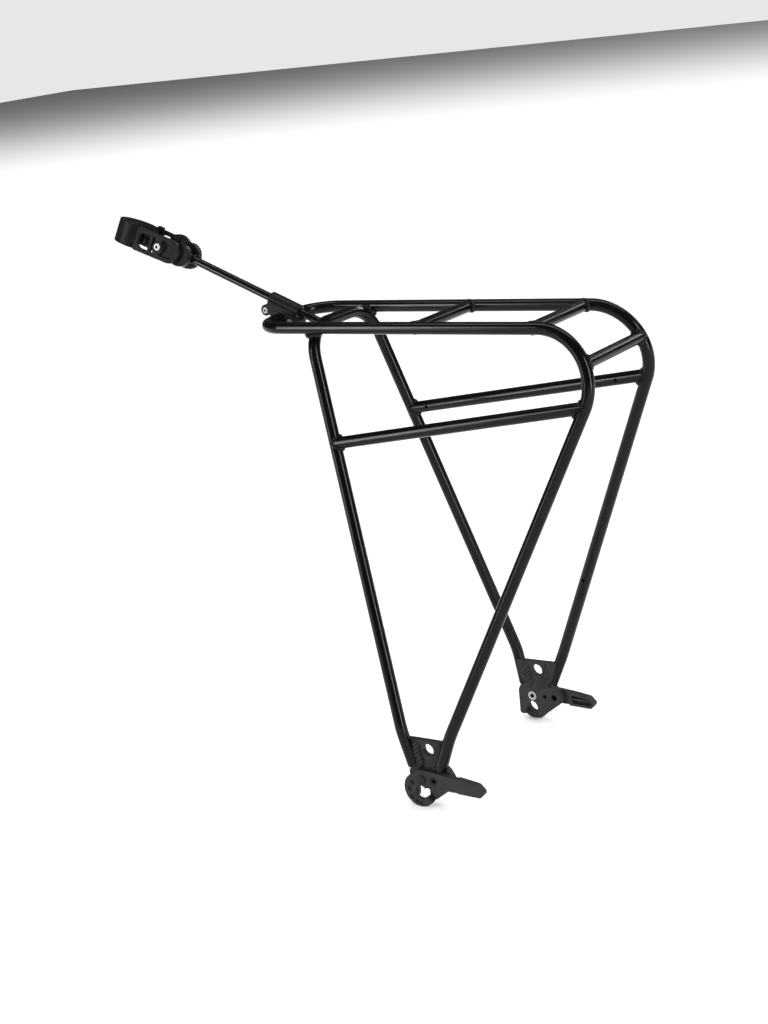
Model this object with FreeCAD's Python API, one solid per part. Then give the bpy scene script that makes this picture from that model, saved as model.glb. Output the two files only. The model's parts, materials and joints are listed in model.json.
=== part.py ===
import FreeCAD, Part
import math
import os

from FreeCAD import Vector

# Rear rack for a bicycle: a welded tube frame, a latch at each dropout and a strut to the seatpost.
# Millimetres. +X points to the rear of the bicycle, +Z up, -Y to its left side.
# The origin is midway between the two dropout slots, on the line of the frame's rack bolts.

# --- tube frame ---------------------------------------------------------------------------------
TUBE_R = 5.0
TUBE_WALL = 2.0
CROSS_TUBE_R = 4.8
DECK_Z = 373.0
RAIL_Y = 42.0
NOSE_X = -146.0
NOSE_BEND_R = 26.0
REAR_CORNER_X = 189.7
REAR_BEND_R = 42.5
CROSS_FRONT_X = 12.3
CROSS_MIDDLE_X = 117.8
CROSS_REAR_DROP = 26.0
CROWN_X = -90.7
CROWN_BEND_R = 30.0
KINK_BEND_R = 60.0
KINK_Y = 93.0
KINK_Z = 51.0
FRONT_KINK_X = -12.8
REAR_KINK_X = 33.3
FOOT_Y = 90.5
FRONT_FOOT_X = -7.0
FRONT_FOOT_Z = 21.4
REAR_FOOT_X = 19.8
REAR_FOOT_Z = 21.4
SIDE_RAIL_FRONT_DROP = 92.0
SIDE_RAIL_REAR_DROP = 57.5
VENT_R = 1.5
VENT_FRONT_X = -50.0
VENT_REAR_X = 135.0
LEG_VENT_Z = 129.0

# --- dropout plates and their latch -------------------------------------------------------------
PLATE_Y = 88.5
PLATE_T = 5.0
SLOT_R = 6.0
SLOT_MOUTH_X = -7.0
PLATE_TOP_Z = 44.5
PIVOT_X = 2.3
PIVOT_Z = 11.5
EYELET_X = 24.0
EYELET_R = 2.8
LIGHTENING_X = 9.3
LIGHTENING_Z = 36.6
LIGHTENING_R = 5.25
DETENT_X = 14.3
DETENT_R = 1.9
RIVET_R = 3.0
RIVET_BORE_R = 2.0
RIVET_HEAD_R = 4.1
RIVET_HEAD_T = 1.0
RUNNING_GAP = 0.05
WASHER_T = 0.6
WASHER_R = 7.0
LEVER_T = 4.4
LEVER_OPEN_DEG = 39.0
HOOK_CENTRE_X = -0.4
HOOK_CENTRE_Z = 2.2
HOOK_R = 14.9
HOOK_HOLE_R = 6.4
HOOK_THROAT_R = 3.6
BOSS_R = 8.5
GRIP_T = 5.6
GRIP_SKIN = 1.8
RIB_T = 1.8
RIB_Z = 10.2
RIB_SETBACK = 0.8
RIB_X = 38.0
RIB_LENGTH = 24.0
POCKET_R = 2.4
POCKET_DEPTH = 1.2
POCKET_CIRCLE_R = 10.6
POCKET_CENTRE_X = 0.8
POCKET_CENTRE_Z = 0.9
SMALL_POCKET_R = 1.7
POCKET_DEGS = (134, 173, 212)
SMALL_POCKET_DEGS = (241, 262)
DETENT_SCREW_R = 3.8
DETENT_SOCKET_AF = 4.0
DETENT_SOCKET_DEPTH = 2.2
DETENT_RECESS = 0.5

# --- strut and its holder on the nose -----------------------------------------------------------
STRUT_DEG = 23.25
STRUT_RISE = 10.07
ROD_R = 3.5
ROD_TAIL = 35.2
ROD_CHAMFER = 0.8
KNUCKLE_REACH = 114.3
BUSH_R = 4.3
BUSH_COLLAR_R = 5.4
BUSH_COLLAR_T = 1.4
BUSH_LIP_R = 4.9
BUSH_LIP_T = 0.8
SLEEVE_R = 5.9
SLEEVE_FRONT = 17.3
SLEEVE_REAR = 11.5
HOLDER_HALF_W = 8.5
HOLDER_BOLT_DROP = 8.6
HOLDER_BOLT_FRONT = 15.8
HOLDER_BOLT_REAR = 10.4
HOLDER_LUG_R = 4.8
HOLDER_SADDLE_R = 8.4
FORK_GAP = 0.5
FORK_ROOF = 1.2
STRAP_HALF_W = 4.0
STRAP_T = 2.6
STRAP_EYE_R = 3.9
BOLT_R = 1.5
BOLT_HEAD_R = 2.75
BOLT_HEAD_T = 3.0
SOCKET_AF = 2.5
SOCKET_DEPTH = 1.8
HEAD_PROUD = 1.0
HEAD_CHAMFER = 0.4
NUT_AF = 5.5
NUT_T = 2.4
SLIT_W = 1.2

# --- seatpost clamp, drawn in its own frame: x rearward and z along the post ---------------------
CLAMP_TILT_DEG = 21.2
CLAMP_TWIST_DEG = 14.8
KNUCKLE_X = 55.4
KNUCKLE_Z = 0.0
POST_R = 13.6
LINER_T = 1.4
LINER_INSET = 1.0
BAND_T = 2.7
BAND_EDGE_R = 0.9
BAND_H = 20.7
BAND_END_DEG = 42.0
ARM_FRONT_X = 12.4
ARM_REAR_X = 57.4
ARM_FRONT_Y = 14.7
ARM_REAR_Y = 10.0
ARM_T = 3.4
ARM_H = 20.7
ARM_END_R = 9.9
ARM_CORNER_R = 1.5
PAD_LENGTH = 6.0
RIGHT_ARM_FRONT_X = 5.5
TAB_X = 8.5
TAB_LENGTH = 6.0
TAB_RISE = 1.6
HOUSING_R = 13.0
HOUSING_T = 4.2
HOUSING_EDGE_R = 1.5
RECESS_DEPTH = 2.4
WINDOW_FRONT_X = 15.4
WINDOW_REAR_X = 53.0
WINDOW_H = 13.6
WINDOW_CORNER_R = 4.4
WINDOW_BAR = 2.4
BAR_X = 26.8
SCREW_X = 36.5
SCREW_BOSS_R = 5.6
WEB_HALF_W = 4.1
SEAT_R = 4.4
SEAT_DEPTH = 0.4
SCREW_R = 2.0
SCREW_HEAD_R = 3.2
SCREW_HEAD_T = 3.0
SCREW_SOCKET_AF = 3.0
CLAMP_NUT_AF = 7.0
SADDLE_H = 9.0
SADDLE_HALF_W = 9.0
SADDLE_HUG_DEG = 40.0
SADDLE_PAD_X = 15.0
SADDLE_WEB_Z = -2.9
SADDLE_WEB_T = 3.2
SADDLE_REAR_X = 43.0
DISC_R = 11.5
SMOOTH_DISC_R = 10.0
DISC_GAP = 0.08
DISC_RIBS = 26
DISC_RIB_R = 0.8
EYE_R = 7.6
EYE_HALF_T = 3.5
NECK_R = 4.6
NECK_REACH = 10.0
PIN_R = 2.5

AXIS_X = Vector(1, 0, 0)
AXIS_Y = Vector(0, 1, 0)
AXIS_Z = Vector(0, 0, 1)
ORIGIN = Vector(0, 0, 0)
PIVOT = Vector(PIVOT_X, 0, PIVOT_Z)
PLATE_OUT = PLATE_Y + PLATE_T / 2
PLATE_IN = PLATE_Y - PLATE_T / 2
LEVER_IN = PLATE_OUT + WASHER_T
LEVER_OUT = LEVER_IN + LEVER_T
BAND_R = POST_R + LINER_T + BAND_T


# --- shared shape helpers ------------------------------------------------------------------------
def cylinder(start, axis, radius, length):
    return Part.makeCylinder(radius, length, start, axis)


def ring(start, axis, outer, inner, length):
    return cylinder(start, axis, outer, length).cut(cylinder(start, axis, inner, length))


def rounded_edges(points, radii, closed=False):
    """Straight edges through points, with a tangent arc of the given radius at each inner corner."""
    count = len(points)
    entries = []
    exits = []
    arcs = []
    for i, corner in enumerate(points):
        radius = radii[i]
        if radius == 0 or (not closed and i in (0, count - 1)):
            entries.append(corner)
            exits.append(corner)
            arcs.append(None)
            continue
        back = points[i - 1].sub(corner).normalize()
        ahead = points[(i + 1) % count].sub(corner).normalize()
        half = back.getAngle(ahead) / 2
        reach = radius / math.tan(half)
        middle_dir = back.add(ahead).normalize()
        middle = corner + middle_dir * (radius / math.sin(half) - radius)
        start = corner + back * reach
        end = corner + ahead * reach
        entries.append(start)
        exits.append(end)
        arcs.append(Part.Arc(start, middle, end).toShape())
    edges = []
    for i in range(count):
        if arcs[i] is not None:
            edges.append(arcs[i])
        if i == count - 1 and not closed:
            break
        after = entries[(i + 1) % count]
        if exits[i].distanceToPoint(after) > 1e-6:
            edges.append(Part.LineSegment(exits[i], after).toShape())
    return edges


def sweep_round(edges, radius):
    path = Part.Wire(edges)
    start = path.OrderedVertexes[0].Point
    first = path.OrderedEdges[0]
    parameter = first.FirstParameter
    if first.valueAt(parameter).distanceToPoint(start) > 1e-6:
        parameter = first.LastParameter
    circle = Part.Wire([Part.Circle(start, first.tangentAt(parameter), radius).toShape()])
    return path.makePipeShell([circle], True, False)


def bent_tube(points, radii):
    """A hollow round tube along straight runs joined by tangent arcs, and its filled outer shape."""
    edges = rounded_edges(points, radii)
    outer = sweep_round(edges, TUBE_R)
    inner = sweep_round(edges, TUBE_R - TUBE_WALL)
    return outer.cut(inner), outer


def straight_tube(start, end, radius):
    run = end.sub(start)
    return ring(start, run, radius, radius - TUBE_WALL, run.Length)


def prism_y(outline, radii, low, high):
    """A plate seen from the side: an outline of (x, z) points with rounded corners, from y low to y high."""
    corners = [Vector(x, low, z) for x, z in outline]
    face = Part.Face(Part.Wire(rounded_edges(corners, radii, closed=True)))
    return face.extrude(Vector(0, high - low, 0))


def hexagon(centre, across_flats, length):
    """A hexagonal bar along +Y."""
    corner_r = across_flats / math.sqrt(3)
    corners = []
    for i in range(6):
        turn = math.radians(60 * i)
        corners.append(centre + Vector(corner_r * math.cos(turn), 0, corner_r * math.sin(turn)))
    corners.append(corners[0])
    return Part.Face(Part.makePolygon(corners)).extrude(Vector(0, length, 0))


def capsule_y(start, end, radius, low, high):
    """The path of a round bar along Y that moves in a straight line from start to end."""
    run = end.sub(start)
    side = Vector(run.z, 0, -run.x).normalize() * radius
    base = Vector(0, low, 0)
    corners = [start + side + base, end + side + base, end - side + base, start - side + base]
    corners.append(corners[0])
    shape = Part.Face(Part.makePolygon(corners)).extrude(Vector(0, high - low, 0))
    for point in (start, end):
        shape = shape.fuse(cylinder(point + base, AXIS_Y, radius, high - low))
    return shape.removeSplitter()


def mirrored(shape):
    return shape.mirror(ORIGIN, AXIS_Y)


def to_side(shape, side):
    """Right-hand parts are drawn at +Y, and their mirror images are the left-hand parts."""
    return shape if side == "right" else mirrored(shape)


# --- tube frame ------------------------------------------------------------------------------------
def rear_leg_points():
    return [
        Vector(NOSE_X, RAIL_Y, DECK_Z),
        Vector(REAR_CORNER_X, RAIL_Y, DECK_Z),
        Vector(REAR_KINK_X, KINK_Y, KINK_Z),
        Vector(REAR_FOOT_X, FOOT_Y, REAR_FOOT_Z),
    ]


def rail_end_x():
    """Where the straight rail meets the bend that turns down into the rear leg."""
    corner = rear_leg_points()[1]
    leg = rear_leg_points()[2].sub(corner)
    turn = leg.getAngle(AXIS_X)
    return REAR_CORNER_X - REAR_BEND_R * math.tan(turn / 2)


def rear_leg():
    _, corner, kink, foot = rear_leg_points()
    start = Vector(rail_end_x(), RAIL_Y, DECK_Z)
    reach = corner.distanceToPoint(start)
    bend_end = corner + kink.sub(corner).normalize() * reach
    half = math.pi / 2 - kink.sub(corner).getAngle(AXIS_X) / 2
    to_centre = bend_end.sub(corner).normalize().add(start.sub(corner).normalize()).normalize()
    middle = corner + to_centre * (REAR_BEND_R / math.sin(half) - REAR_BEND_R)
    bend = Part.Arc(start, middle, bend_end).toShape()
    edges = [bend] + rounded_edges([bend_end, kink, foot], [0, KINK_BEND_R, 0])
    outer = sweep_round(edges, TUBE_R)
    return outer.cut(sweep_round(edges, TUBE_R - TUBE_WALL)), outer


def bend_point(drop):
    """The point on the rear bend's centreline that lies this far below the rail."""
    _, corner, kink, _ = rear_leg_points()
    sideways = (kink.y - corner.y) / (corner.z - kink.z)
    slope = math.hypot(1, sideways)
    centre_drop = REAR_BEND_R / slope
    lift = (centre_drop - drop) * slope
    x = rail_end_x() + math.sqrt(REAR_BEND_R**2 - lift**2)
    return Vector(x, RAIL_Y + sideways * drop, DECK_Z - drop)


def front_leg_points():
    return [
        Vector(CROWN_X, 0, DECK_Z),
        Vector(CROWN_X, RAIL_Y, DECK_Z),
        Vector(FRONT_KINK_X, KINK_Y, KINK_Z),
        Vector(FRONT_FOOT_X, FOOT_Y, FRONT_FOOT_Z),
    ]


def front_leg_point(drop):
    _, corner, kink, _ = front_leg_points()
    return corner + kink.sub(corner) * (drop / (corner.z - kink.z))


def deck_hoop():
    end = rail_end_x()
    left = Vector(end, -RAIL_Y, DECK_Z)
    right = Vector(end, RAIL_Y, DECK_Z)
    nose = [Vector(NOSE_X, -RAIL_Y, DECK_Z), Vector(NOSE_X, RAIL_Y, DECK_Z)]
    return bent_tube([left] + nose + [right], [0, NOSE_BEND_R, NOSE_BEND_R, 0])


def front_hoop():
    right = front_leg_points()[1:]
    left = [Vector(p.x, -p.y, p.z) for p in reversed(right)]
    radii = [0, KINK_BEND_R, CROWN_BEND_R, CROWN_BEND_R, KINK_BEND_R, 0]
    return bent_tube(left + right, radii)


def cross_tube(x, z, half_span):
    return straight_tube(Vector(x, -half_span, z), Vector(x, half_span, z), CROSS_TUBE_R)


def side_rail():
    start = front_leg_point(SIDE_RAIL_FRONT_DROP)
    end = bend_point(SIDE_RAIL_REAR_DROP)
    return straight_tube(start, end, TUBE_R)


def vent(point, inward):
    """A small drain hole through one wall of a tube, on the side that faces inward."""
    return cylinder(point, inward, VENT_R, TUBE_R + 1)


def between(start, end, share):
    return start + end.sub(start) * share


def right_rear_leg(plate):
    leg, _ = rear_leg()
    _, corner, kink, _ = rear_leg_points()
    spot = between(corner, kink, (corner.z - LEG_VENT_Z) / (corner.z - kink.z))
    inward = Vector(0, -1, 0)
    return largest(leg.cut(plate).cut(vent(spot, inward)))


def right_side_rail(crown_solid, leg_solid):
    rail = largest(side_rail().cut([crown_solid, leg_solid]))
    start = front_leg_point(SIDE_RAIL_FRONT_DROP)
    end = bend_point(SIDE_RAIL_REAR_DROP)
    inward = Vector(0, -1, 0)
    for x in (VENT_FRONT_X, VENT_REAR_X):
        rail = rail.cut(vent(between(start, end, (x - start.x) / (end.x - start.x)), inward))
    return rail


def frame_tubes(plate_right):
    """Every tube of the frame, coped where it lands on another and slit where a plate is let in."""
    hoop, hoop_solid = deck_hoop()
    _, leg_solid = rear_leg()
    crown, crown_solid = front_hoop()
    crown = crown.cut([hoop_solid, plate_right, mirrored(plate_right)])
    leg = right_rear_leg(plate_right)
    rail = right_side_rail(crown_solid, leg_solid)
    front = cross_tube(CROSS_FRONT_X, DECK_Z, RAIL_Y)
    middle = cross_tube(CROSS_MIDDLE_X, DECK_Z, RAIL_Y)
    rear_at = bend_point(CROSS_REAR_DROP)
    rear = cross_tube(rear_at.x, rear_at.z, rear_at.y)
    return {
        "deck_hoop": hoop,
        "front_hoop": crown,
        "rear_leg_right": leg,
        "rear_leg_left": mirrored(leg),
        "side_rail_right": rail,
        "side_rail_left": mirrored(rail),
        "cross_tube_front": largest(front.cut(hoop_solid)),
        "cross_tube_middle": largest(middle.cut([hoop_solid, leg_solid, mirrored(leg_solid)])),
        "cross_tube_rear": largest(rear.cut([leg_solid, mirrored(leg_solid)])),
    }


def largest(shape):
    """The biggest solid of a cut, without the slivers that coping leaves inside the other tube."""
    return max(shape.Solids, key=lambda solid: solid.Volume)


# --- dropout plates and their latch -----------------------------------------------------------------
def dropout_plate():
    """The plate stands between both feet. A rack bolt enters its slot from below."""
    outline = [
        (-11.4, PLATE_TOP_Z), (29.6, PLATE_TOP_Z), (22.6, 25.0), (27.4, 20.2), (32.2, 11.2),
        (30.6, 7.0), (7.0, -10.0), (SLOT_R, -9.4), (SLOT_R, SLOT_R), (-SLOT_R, SLOT_R),
        (-SLOT_R, -2.0), (SLOT_MOUTH_X, -7.4), (-12.4, -7.0), (-11.8, 16.0), (-7.2, 24.0),
    ]
    radii = [0, 0, 2.0, 5.0, 4.0, 3.0, 0.5, 0, SLOT_R, SLOT_R, 2.0, 1.2, 2.0, 6.0, 3.0]
    plate = prism_y(outline, radii, PLATE_IN, PLATE_OUT)
    holes = (
        (LIGHTENING_X, LIGHTENING_Z, LIGHTENING_R),
        (PIVOT_X, PIVOT_Z, RIVET_R),
        (DETENT_X, PIVOT_Z, DETENT_R),
        (EYELET_X, PIVOT_Z, EYELET_R),
    )
    for x, z, radius in holes:
        plate = plate.cut(cylinder(Vector(x, PLATE_IN, z), AXIS_Y, radius, PLATE_T))
    return plate


def hook_throat(low, high):
    """A rack bolt's way through the lever: it swings round the pivot, then drops straight out."""
    reach = math.hypot(PIVOT_X, PIVOT_Z)
    shut = math.atan2(-PIVOT_Z, -PIVOT_X)
    opened = shut + math.radians(LEVER_OPEN_DEG)
    middle = (shut + opened) / 2
    band = ring(PIVOT + Vector(0, low, 0), AXIS_Y, reach + HOOK_THROAT_R, reach - HOOK_THROAT_R, high - low)
    span = 3 * reach
    wedge = [PIVOT]
    for turn in (shut, middle, opened):
        wedge.append(PIVOT + Vector(span * math.cos(turn), 0, span * math.sin(turn)))
    wedge.append(PIVOT)
    wedge = [point + Vector(0, low, 0) for point in wedge]
    swing = band.common(Part.Face(Part.makePolygon(wedge)).extrude(Vector(0, high - low, 0)))
    swung = PIVOT + Vector(reach * math.cos(opened), 0, reach * math.sin(opened))
    drop = math.radians(LEVER_OPEN_DEG)
    out = swung + Vector(math.sin(drop), 0, -math.cos(drop)) * (2 * HOOK_R)
    return swing.fuse(capsule_y(swung, out, HOOK_THROAT_R, low, high))


def lever_web():
    """The flat plate of the lever, from the hook round the pivot to the grip."""
    outline = [
        (-6.0, 15.0), (PIVOT_X, PIVOT_Z + BOSS_R), (25.0, 18.2), (38.0, 16.8),
        (38.0, 4.9), (27.7, 4.9), (10.8, -7.4),
    ]
    radii = [0, 6.0, 4.0, 0, 0, 3.0, 0]
    hook = cylinder(Vector(HOOK_CENTRE_X, LEVER_IN, HOOK_CENTRE_Z), AXIS_Y, HOOK_R, LEVER_T)
    boss = cylinder(PIVOT + Vector(0, LEVER_IN, 0), AXIS_Y, BOSS_R, LEVER_T)
    return hook.fuse([boss, prism_y(outline, radii, LEVER_IN, LEVER_OUT)])


def lever_grip():
    """The grip is flush with the lever's outer face and thick towards the wheel."""
    outline = [(36.0, 17.3), (56.5, 14.4), (62.2, 8.3), (58.0, 3.6), (36.0, 4.3)]
    radii = [1.5, 5.0, 3.0, 3.0, 1.5]
    return prism_y(outline, radii, LEVER_OUT - GRIP_T, LEVER_OUT)


def lock_lever():
    body = lever_web().fuse(lever_grip()).removeSplitter()
    body = body.cut([grip_pocket(), hook_throat(LEVER_IN, LEVER_OUT), ring_pockets()])
    holes = (
        (0, 0, HOOK_HOLE_R),
        (PIVOT_X, PIVOT_Z, RIVET_R + RUNNING_GAP),
        (DETENT_X, PIVOT_Z, DETENT_SCREW_R),
    )
    for x, z, radius in holes:
        body = body.cut(cylinder(Vector(x, LEVER_IN, z), AXIS_Y, radius, LEVER_T))
    return largest(body)


def grip_pocket():
    """The hollow back of the grip, with a lengthwise rib that stands in it."""
    outline = [(39.0, 14.2), (55.2, 12.0), (59.2, 8.2), (56.6, 6.0), (39.0, 6.6)]
    radii = [1.5, 3.0, 2.0, 1.5, 1.5]
    floor = LEVER_OUT - GRIP_SKIN
    mouth = LEVER_OUT - GRIP_T
    pocket = prism_y(outline, radii, mouth - RIB_SETBACK, floor)
    rib_at = Vector(RIB_X, mouth + RIB_SETBACK, RIB_Z - RIB_T / 2)
    return pocket.cut(Part.makeBox(RIB_LENGTH, GRIP_T, RIB_T, rib_at))


def ring_pockets():
    """Shallow round pockets that follow the hook: three of one size, then two smaller ones."""
    centre = Vector(POCKET_CENTRE_X, LEVER_OUT - POCKET_DEPTH, POCKET_CENTRE_Z)
    cuts = []
    for degrees, radius in ((POCKET_DEGS, POCKET_R), (SMALL_POCKET_DEGS, SMALL_POCKET_R)):
        for turn in map(math.radians, degrees):
            spot = centre + Vector(math.cos(turn), 0, math.sin(turn)) * POCKET_CIRCLE_R
            cuts.append(cylinder(spot, AXIS_Y, radius, POCKET_DEPTH))
    return cuts[0].fuse(cuts[1:])


def lever_rivet():
    """A hollow rivet: the lever turns on its shank, and a head at each end holds the stack together."""
    low = PLATE_IN - RIVET_HEAD_T
    length = LEVER_OUT + RIVET_HEAD_T + RUNNING_GAP - low
    base = PIVOT + Vector(0, low, 0)
    shank = cylinder(base, AXIS_Y, RIVET_R, length)
    inner_head = cylinder(base, AXIS_Y, RIVET_HEAD_R, RIVET_HEAD_T)
    outer_at = PIVOT + Vector(0, LEVER_OUT + RUNNING_GAP, 0)
    outer_head = cylinder(outer_at, AXIS_Y, RIVET_HEAD_R, RIVET_HEAD_T)
    rivet = shank.fuse([inner_head, outer_head])
    return rivet.cut(cylinder(base, AXIS_Y, RIVET_BORE_R, length - RIVET_HEAD_T))


def lever_washer():
    at = PIVOT + Vector(0, PLATE_OUT, 0)
    return ring(at, AXIS_Y, WASHER_R, RIVET_R + RUNNING_GAP, WASHER_T - RUNNING_GAP)


def detent_screw():
    """A socket set screw in the lever. Its point stands over the small hole in the plate."""
    start = Vector(DETENT_X, PLATE_OUT + RUNNING_GAP, PIVOT_Z)
    face = LEVER_OUT - DETENT_RECESS
    body_at = Vector(DETENT_X, LEVER_IN, PIVOT_Z)
    body = cylinder(body_at, AXIS_Y, DETENT_SCREW_R, face - LEVER_IN)
    point = cylinder(start, AXIS_Y, DETENT_R, LEVER_IN - start.y)
    socket_at = Vector(DETENT_X, face - DETENT_SOCKET_DEPTH, PIVOT_Z)
    socket = hexagon(socket_at, DETENT_SOCKET_AF, DETENT_SOCKET_DEPTH)
    return body.fuse(point).cut(socket).removeSplitter()


# --- strut and its holder ------------------------------------------------------------------------
def strut_frame(shape):
    """Places a shape drawn with x along the strut, forward and up, and the nose tube below its origin."""
    turned = shape.copy()
    turned.rotate(ORIGIN, AXIS_Y, STRUT_DEG)
    turned.translate(strut_point(0))
    return turned


def strut_point(along):
    """A point on the strut's axis. along counts forward from above the nose tube."""
    tilt = math.radians(STRUT_DEG)
    foot = Vector(NOSE_X + STRUT_RISE * math.sin(tilt), 0, DECK_Z + STRUT_RISE * math.cos(tilt))
    return foot + Vector(-math.cos(tilt), 0, math.sin(tilt)) * along


def holder_lug(x):
    return cylinder(Vector(x, -HOLDER_HALF_W, -HOLDER_BOLT_DROP), AXIS_Y, HOLDER_LUG_R, 2 * HOLDER_HALF_W)


def holder_fork(x):
    """The room for a strap's eye between the two cheeks of a lug."""
    half_x = STRAP_EYE_R + FORK_GAP
    half_y = STRAP_HALF_W + RUNNING_GAP
    depth = 4 * STRAP_EYE_R
    at = Vector(x - half_x, -half_y, -HOLDER_BOLT_DROP + half_x - FORK_ROOF - depth)
    return Part.makeBox(2 * half_x, 2 * half_y, depth, at)


def bush_room():
    """The space past both ends of the sleeve, in which the collar and the lip of the bush turn."""
    reach = 2 * BUSH_COLLAR_R
    rear = cylinder(Vector(SLEEVE_REAR, 0, 0), AXIS_X, BUSH_COLLAR_R + RUNNING_GAP, reach)
    front = cylinder(Vector(-SLEEVE_FRONT - reach, 0, 0), AXIS_X, BUSH_LIP_R + RUNNING_GAP, reach)
    return rear.fuse(front)


def strut_holder():
    """The sleeve round the rod, the saddle over the nose tube and two forked lugs for the bolts."""
    width = 2 * HOLDER_HALF_W
    front_x = -HOLDER_BOLT_FRONT
    rear_x = HOLDER_BOLT_REAR
    sleeve_at = Vector(-SLEEVE_FRONT, 0, 0)
    sleeve_length = SLEEVE_FRONT + SLEEVE_REAR
    tube_at = Vector(0, -HOLDER_HALF_W, -STRUT_RISE)
    lugs = holder_lug(front_x).fuse(holder_lug(rear_x))
    block = Part.makeBox(rear_x - front_x, width, STRUT_RISE, Vector(front_x, -HOLDER_HALF_W, -STRUT_RISE))
    saddle = cylinder(tube_at, AXIS_Y, HOLDER_SADDLE_R, width)
    span = rear_x - front_x
    below = Part.makeBox(2 * span, 2 * width, span, Vector(-span, -width, -STRUT_RISE - span))
    body = block.fuse(saddle).cut(below).fuse([lugs, cylinder(sleeve_at, AXIS_X, SLEEVE_R, sleeve_length)])
    body = body.cut([
        cylinder(sleeve_at, AXIS_X, BUSH_R + RUNNING_GAP, sleeve_length),
        cylinder(tube_at, AXIS_Y, TUBE_R + RUNNING_GAP, width),
        bush_room(),
    ])
    for x in (front_x, rear_x):
        bore = cylinder(Vector(x, -HOLDER_HALF_W, -HOLDER_BOLT_DROP), AXIS_Y, BOLT_R, width)
        recess_at = Vector(x, -HOLDER_HALF_W, -HOLDER_BOLT_DROP)
        recess = cylinder(recess_at, AXIS_Y, BOLT_HEAD_R + RUNNING_GAP, BOLT_HEAD_T - HEAD_PROUD)
        body = body.cut([bore, recess, holder_fork(x)])
    return largest(body)


def holder_strap(holder):
    """The strap that passes under the nose tube from one bolt to the other, let in to the holder."""
    half = STRAP_HALF_W
    width = 2 * half
    outer_r = TUBE_R + RUNNING_GAP + STRAP_T
    tube_at = Vector(0, -half, -STRUT_RISE)
    eyes = [Vector(x, -half, -HOLDER_BOLT_DROP) for x in (-HOLDER_BOLT_FRONT, HOLDER_BOLT_REAR)]
    below_eye = -HOLDER_BOLT_DROP - STRAP_EYE_R
    below_tube = -STRUT_RISE - outer_r
    link = [
        (-HOLDER_BOLT_FRONT, -HOLDER_BOLT_DROP), (-HOLDER_BOLT_FRONT, below_eye),
        (-outer_r / 2, below_tube), (outer_r / 2, below_tube),
        (HOLDER_BOLT_REAR, below_eye), (HOLDER_BOLT_REAR, -HOLDER_BOLT_DROP),
    ]
    strap = prism_y(link, [0] * len(link), -half, half)
    for at in eyes:
        strap = strap.fuse(cylinder(at, AXIS_Y, STRAP_EYE_R, width))
    over_tube = Part.makeBox(2 * outer_r, width, 4 * outer_r, Vector(-outer_r, -half, -STRUT_RISE))
    strap = strap.cut([over_tube, cylinder(tube_at, AXIS_Y, TUBE_R + RUNNING_GAP, width)])
    for at in eyes:
        strap = strap.cut(cylinder(at, AXIS_Y, BOLT_R, width))
    return largest(strap.cut([holder, bush_room()]))


def screw_y(x, z, head_face, end, radius, head_r, head_t, across_flats):
    """A socket-head screw along +Y from the outside of its head to the end of its shank."""
    head_at = Vector(x, head_face, z)
    head = cylinder(head_at, AXIS_Y, head_r, head_t)
    rim = [edge for edge in head.Edges if edge.BoundBox.YMax - head_face < 1e-6]
    head = head.makeChamfer(HEAD_CHAMFER, rim)
    shank = cylinder(head_at, AXIS_Y, radius, end - head_face)
    return head.fuse(shank).cut(hexagon(head_at, across_flats, SOCKET_DEPTH))


def hex_nut(x, z, face_y, radius, across_flats):
    body = hexagon(Vector(x, face_y, z), across_flats, NUT_T)
    return body.cut(cylinder(Vector(x, face_y, z), AXIS_Y, radius, NUT_T))


def holder_bolts():
    made = {}
    nuts = []
    z = -HOLDER_BOLT_DROP
    head_face = -HOLDER_HALF_W - HEAD_PROUD
    end = HOLDER_HALF_W + NUT_T + HEAD_PROUD
    for name, x in (("holder_bolt_front", -HOLDER_BOLT_FRONT), ("holder_bolt_rear", HOLDER_BOLT_REAR)):
        bolt = screw_y(x, z, head_face, end, BOLT_R, BOLT_HEAD_R, BOLT_HEAD_T, SOCKET_AF)
        made[name] = strut_frame(bolt)
        nuts.append(strut_frame(hex_nut(x, z, HOLDER_HALF_W, BOLT_R, NUT_AF)))
    made["holder_nuts"] = Part.makeCompound(nuts)
    return made


def sleeve_bush():
    """A split bush. Its collar and lip hold it in the sleeve, and the rod slides through it."""
    lip_at = Vector(-SLEEVE_FRONT - RUNNING_GAP - BUSH_LIP_T, 0, 0)
    collar_at = Vector(SLEEVE_REAR + RUNNING_GAP, 0, 0)
    length = collar_at.x + BUSH_COLLAR_T - lip_at.x
    bush = cylinder(lip_at, AXIS_X, BUSH_R, length)
    bush = bush.fuse([
        cylinder(lip_at, AXIS_X, BUSH_LIP_R, BUSH_LIP_T),
        cylinder(collar_at, AXIS_X, BUSH_COLLAR_R, BUSH_COLLAR_T),
    ])
    bush = bush.cut(cylinder(lip_at, AXIS_X, ROD_R + RUNNING_GAP, length))
    slit_at = lip_at + Vector(0, -SLIT_W / 2, 0)
    return strut_frame(bush.cut(Part.makeBox(length, SLIT_W, 2 * BUSH_COLLAR_R, slit_at)))


def strut_rod():
    start = Vector(-KNUCKLE_REACH + NECK_REACH, 0, 0)
    rod = cylinder(start, AXIS_X, ROD_R, ROD_TAIL - start.x)
    tail = [edge for edge in rod.Edges if ROD_TAIL - edge.BoundBox.XMin < 1e-6]
    return strut_frame(rod.makeChamfer(ROD_CHAMFER, tail))


def twisted(shape):
    """Turns a shape about the strut's axis, as the rod is turned in its bush."""
    turned = shape.copy()
    turned.rotate(strut_point(0), strut_point(1).sub(strut_point(0)), CLAMP_TWIST_DEG)
    return turned


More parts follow.
